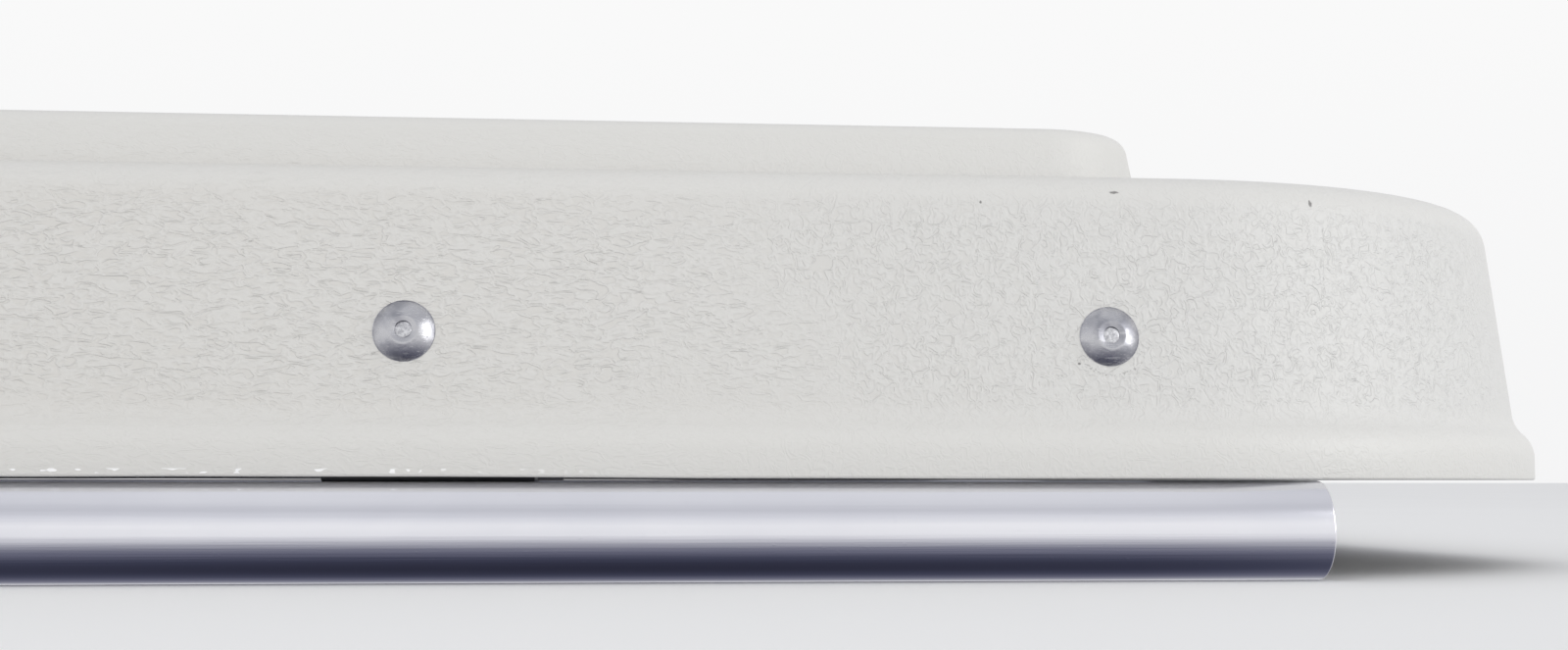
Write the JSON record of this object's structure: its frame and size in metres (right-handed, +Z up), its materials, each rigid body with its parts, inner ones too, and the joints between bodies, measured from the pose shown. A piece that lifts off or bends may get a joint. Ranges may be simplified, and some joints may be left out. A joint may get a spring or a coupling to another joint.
{
  "type": "diving board",
  "caption": "Long low board with a moulded non-slip deck shell riveted over an aluminium frame on two round side rails.",
  "frame": {"origin": "middle of the surface that the two rails stand on, under the middle of the board", "axes": "+X along the board to its free end, +Y to the left across the board, +Z up"},
  "size_m": [1.83, 0.4712, 0.1006],
  "materials": {
    "shell_plastic": "white moulded plastic with a fine hair-cell grain",
    "core_ply": "sealed marine plywood",
    "frame_aluminium": "mill-finish extrusion with die lines",
    "bracket_aluminium": "dark grey anodised block",
    "rail_aluminium": "bright drawn tube with a fine satin polish along its length",
    "rivet_aluminium": "domed blind rivet, lightly marked by its setting",
    "mandrel_steel": "broken steel mandrel",
    "fastener_steel": "zinc-plated steel",
    "plug_plastic": "black moulded plastic",
    "pad_rubber": "black grooved rubber"
  },
  "bodies": {
    "root": {"deck_shell": "shell_plastic", "deck_core": "core_ply", "side_channel_left": "frame_aluminium", "side_channel_right": "frame_aluminium", "end_channel_front": "frame_aluminium", "end_channel_rear": "frame_aluminium", "cross_member_1": "frame_aluminium", "cross_member_2": "frame_aluminium", "cross_member_3": "frame_aluminium", "cross_member_4": "frame_aluminium", "cross_member_5": "frame_aluminium", "cross_member_6": "frame_aluminium", "cross_member_7": "frame_aluminium", "nose_strut_front_left": "frame_aluminium", "nose_strut_front_right": "frame_aluminium", "nose_strut_rear_left": "frame_aluminium", "nose_strut_rear_right": "frame_aluminium", "rail_left": "rail_aluminium", "rail_right": "rail_aluminium", "rail_plug_front_left": "plug_plastic", "rail_plug_front_right": "plug_plastic", "rail_plug_rear_left": "plug_plastic", "rail_plug_rear_right": "plug_plastic", "rail_bracket_left_1": "bracket_aluminium", "rail_bracket_left_2": "bracket_aluminium", "rail_bracket_left_3": "bracket_aluminium", "rail_bracket_left_4": "bracket_aluminium", "rail_bracket_left_5": "bracket_aluminium", "rail_bracket_left_6": "bracket_aluminium", "rail_bracket_right_1": "bracket_aluminium", "rail_bracket_right_2": "bracket_aluminium", "rail_bracket_right_3": "bracket_aluminium", "rail_bracket_right_4": "bracket_aluminium", "rail_bracket_right_5": "bracket_aluminium", "rail_bracket_right_6": "bracket_aluminium", "bracket_bolts_left": "fastener_steel", "bracket_bolts_right": "fastener_steel", "bracket_washers_left": "fastener_steel", "bracket_washers_right": "fastener_steel", "shell_rivets_left": "rivet_aluminium", "shell_rivets_right": "rivet_aluminium", "shell_rivets_front": "rivet_aluminium", "shell_rivets_rear": "rivet_aluminium", "rivet_mandrels_left": "mandrel_steel", "rivet_mandrels_right": "mandrel_steel", "rivet_mandrels_front": "mandrel_steel", "rivet_mandrels_rear": "mandrel_steel", "core_screws_left": "fastener_steel", "core_screws_right": "fastener_steel", "anchor_plate": "frame_aluminium", "anchor_plate_bolts": "fastener_steel", "anchor_plate_nuts": "fastener_steel", "fulcrum_plate": "frame_aluminium", "fulcrum_pad": "pad_rubber", "fulcrum_bolts": "fastener_steel", "fulcrum_nuts": "fastener_steel"}
  },
  "joints": []
}
